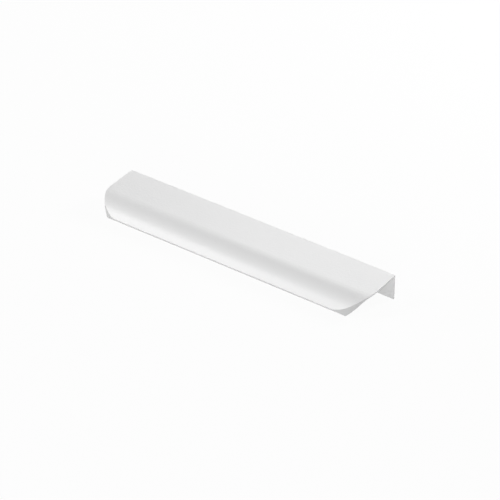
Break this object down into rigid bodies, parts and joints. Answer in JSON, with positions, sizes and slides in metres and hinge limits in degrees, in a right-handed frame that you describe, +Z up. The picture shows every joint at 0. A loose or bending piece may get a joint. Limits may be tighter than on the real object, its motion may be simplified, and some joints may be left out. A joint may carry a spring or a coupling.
{
  "type": "edge pull",
  "caption": "Edge pull for a drawer or door front: a thin plate with a screwed flange behind and a thick curved finger lip ahead, with rounded front corners.",
  "frame": {"origin": "on the floor, at the middle of the pull's outline seen from above", "axes": "+X along the pull, +Y towards its flange, +Z up; the pull is at rest, tipped forward 9.7 degrees from how it is used, onto the flange's foot and the lip"},
  "size_m": [0.2, 0.0428, 0.0176],
  "materials": {
    "powder_coat": "satin white powder coat, fine and even"
  },
  "bodies": {
    "root": {"edge_pull": "powder_coat"}
  },
  "joints": []
}
